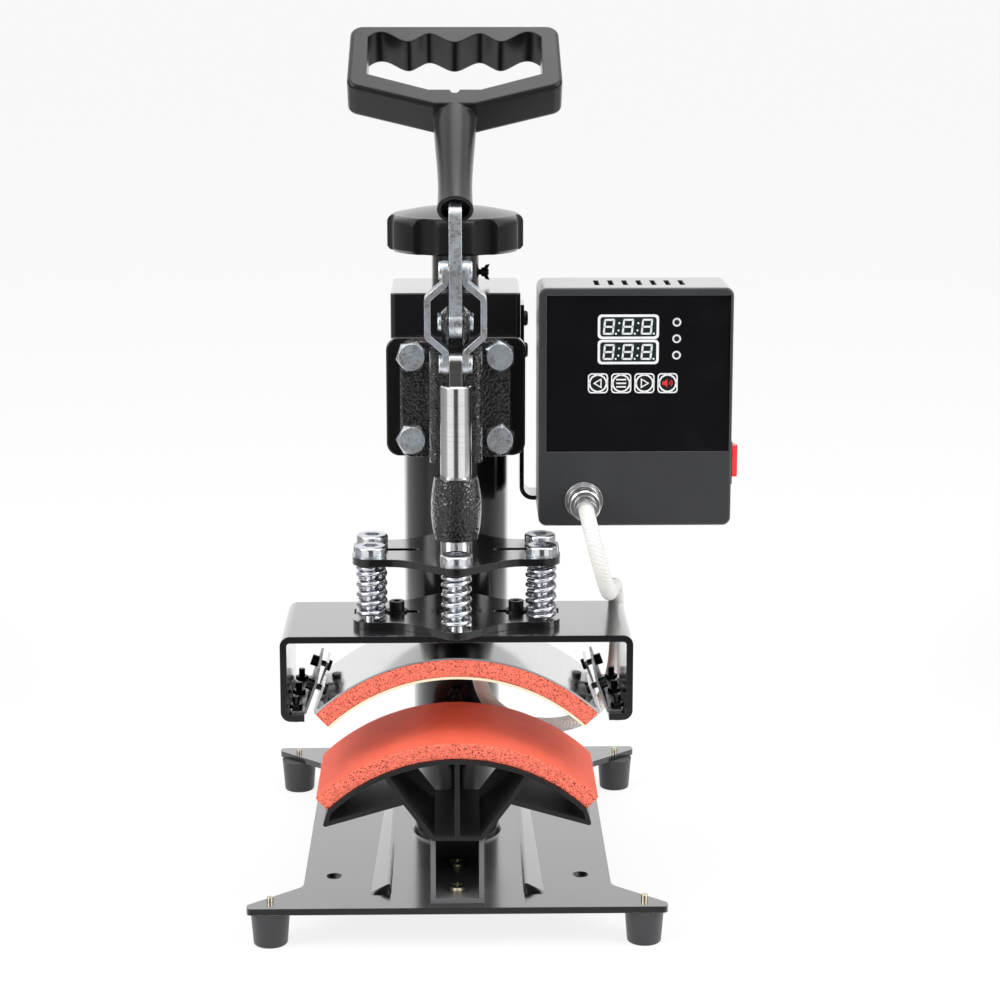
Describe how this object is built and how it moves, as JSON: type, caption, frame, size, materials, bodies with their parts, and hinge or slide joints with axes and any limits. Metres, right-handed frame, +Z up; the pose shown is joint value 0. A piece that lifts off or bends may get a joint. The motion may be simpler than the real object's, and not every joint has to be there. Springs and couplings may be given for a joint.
{
  "type": "curved cap heat press",
  "caption": "Swing-away cap press: an arched heater on a sprung toggle plunger over a padded arched platen, with a control box at its side.",
  "frame": {"origin": "middle of the object's box at the bench, under the feet, the heater cable left out", "axes": "+Z up, +X to the operator's right, +Y away from the operator"},
  "size_m": [0.2978, 0.303, 0.5406],
  "materials": {
    "black_gloss": "gloss powder coat",
    "black_satin": "satin powder coat",
    "hammertone": "gloss hammertone enamel",
    "black_plastic": "satin moulded",
    "black_case": "fine moulded grain",
    "panel_gloss": "gloss",
    "display": "gloss",
    "print_white": "printed",
    "key_face": "gloss",
    "red_rocker": "gloss",
    "black_screw": "black oxide",
    "yellow_zinc": "yellow zinc",
    "zinc": "bright zinc",
    "steel": "ground steel",
    "spring_chrome": "bright plated",
    "mirror_steel": "mirror",
    "sponge": "fine-celled silicone sponge",
    "foot_rubber": "matte",
    "cream_film": "satin",
    "cream_sleeve": "braided sleeve"
  },
  "bodies": {
    "base": {"base_plate": "black_gloss", "feet": "foot_rubber", "base_screws": "yellow_zinc", "column_post": "black_gloss", "stop_bolt": "black_screw", "post_nut_plug": "zinc", "platen_channel": "black_satin", "platen": "black_satin", "platen_pad": "sponge"},
    "lift": {"thrust_bush": "zinc"},
    "knob": {"height_spindle": "zinc", "height_knob": "black_plastic"},
    "head": {"sleeve_tube": "black_gloss", "housing": "black_gloss", "spindle_boss": "black_gloss", "head_plate": "black_gloss", "casting": "hammertone", "casting_bolts": "zinc", "fork_pivot_bolt": "zinc", "control_case": "black_case", "control_back": "black_case", "control_panel": "panel_gloss", "display_windows": "display", "indicator_rings": "print_white", "rocker_frame": "black_plastic", "mains_inlet": "black_plastic", "box_strap": "black_gloss", "box_screws": "black_screw", "cable_socket": "steel", "cable_plug": "steel", "heater_cable": "cream_sleeve"},
    "wing": {"wing_screw": "black_screw"},
    "rocker": {"power_rocker": "red_rocker"},
    "key_a": {"key_1": "key_face"},
    "key_b": {"key_2": "key_face"},
    "key_c": {"key_3": "key_face"},
    "key_d": {"key_4": "key_face"},
    "lever": {"lever_bar": "zinc", "lever_pivot_stub": "zinc", "grip": "black_plastic"},
    "plunger": {"plunger_rod": "steel", "plunger_bolt": "zinc", "upper_spring_plate": "black_gloss", "spring_washers": "zinc", "springs": "spring_chrome"},
    "linkage": {"links": "zinc", "lower_pivot_pin": "zinc", "upper_pivot_caps": "zinc"},
    "press_head": {"lower_spring_plate": "black_gloss", "spring_bolts": "spring_chrome", "plate_screws": "black_screw", "u_bracket": "black_gloss", "tension_clips": "zinc", "clip_screws": "black_screw", "tension_screws": "black_screw", "heater_band": "mirror_steel", "heater_cushion": "sponge", "heater_film": "cream_film", "heater_junction": "black_satin"}
  },
  "joints": [
    {"name": "knob_turn", "type": "hinge", "parent": "lift", "child": "knob", "pos_m": [-0.02292, -0.0145, 0.36], "axis": [0, 0, 1], "range_deg": [0, 3240]},
    {"name": "head_height", "type": "slide", "parent": "base", "child": "lift", "axis": [0, 0, 1], "range_m": [0, 0.018]},
    {"name": "head_swing", "type": "hinge", "parent": "lift", "child": "head", "pos_m": [-0.02292, -0.0145, 0.36], "axis": [0, 0, 1], "range_deg": [0, 90]},
    {"name": "wing_turn", "type": "hinge", "parent": "head", "child": "wing", "pos_m": [-0.00492, -0.0145, 0.3904], "axis": [1, 0, 0], "range_deg": [0, 360]},
    {"name": "power_switch", "type": "hinge", "parent": "head", "child": "rocker", "pos_m": [0.14108, -0.0625, 0.281], "axis": [0, 0, -1], "range_deg": [0, 20]},
    {"name": "lever_swing", "type": "hinge", "parent": "head", "child": "lever", "pos_m": [-0.02292, -0.0985, 0.371], "axis": [1, 0, 0], "range_deg": [0, 104]},
    {"name": "plunger_slide", "type": "slide", "parent": "head", "child": "plunger", "axis": [0, 0, -1], "range_m": [0, 0.03276], "deforming": ["heater_cable"]},
    {"name": "link_turn", "type": "hinge", "parent": "plunger", "child": "linkage", "pos_m": [-0.02292, -0.0985, 0.34595], "axis": [1, 0, 0], "range_deg": [0, 28.8]},
    {"name": "spring_give", "type": "slide", "parent": "plunger", "child": "press_head", "axis": [0, 0, 1], "range_m": [0, 0.0034], "stiffness_N_per_m": 30000, "springref_m": -0.004, "deforming": ["springs"]},
    {"name": "key_a_press", "type": "slide", "parent": "head", "child": "key_a", "axis": [0, 1, 0], "range_m": [0, 0.0005], "stiffness_N_per_m": 300},
    {"name": "key_b_press", "type": "slide", "parent": "head", "child": "key_b", "axis": [0, 1, 0], "range_m": [0, 0.0005], "stiffness_N_per_m": 300},
    {"name": "key_c_press", "type": "slide", "parent": "head", "child": "key_c", "axis": [0, 1, 0], "range_m": [0, 0.0005], "stiffness_N_per_m": 300},
    {"name": "key_d_press", "type": "slide", "parent": "head", "child": "key_d", "axis": [0, 1, 0], "range_m": [0, 0.0005], "stiffness_N_per_m": 300}
  ],
  "couplings": [
    {"joint": "knob_turn", "follows": "head_height", "rad_per_m": 3141.6},
    {"joint": "plunger_slide", "follows": "lever_swing", "m_per_rad": 0.018046},
    {"joint": "link_turn", "follows": "lever_swing", "ratio": 0.27688}
  ]
}
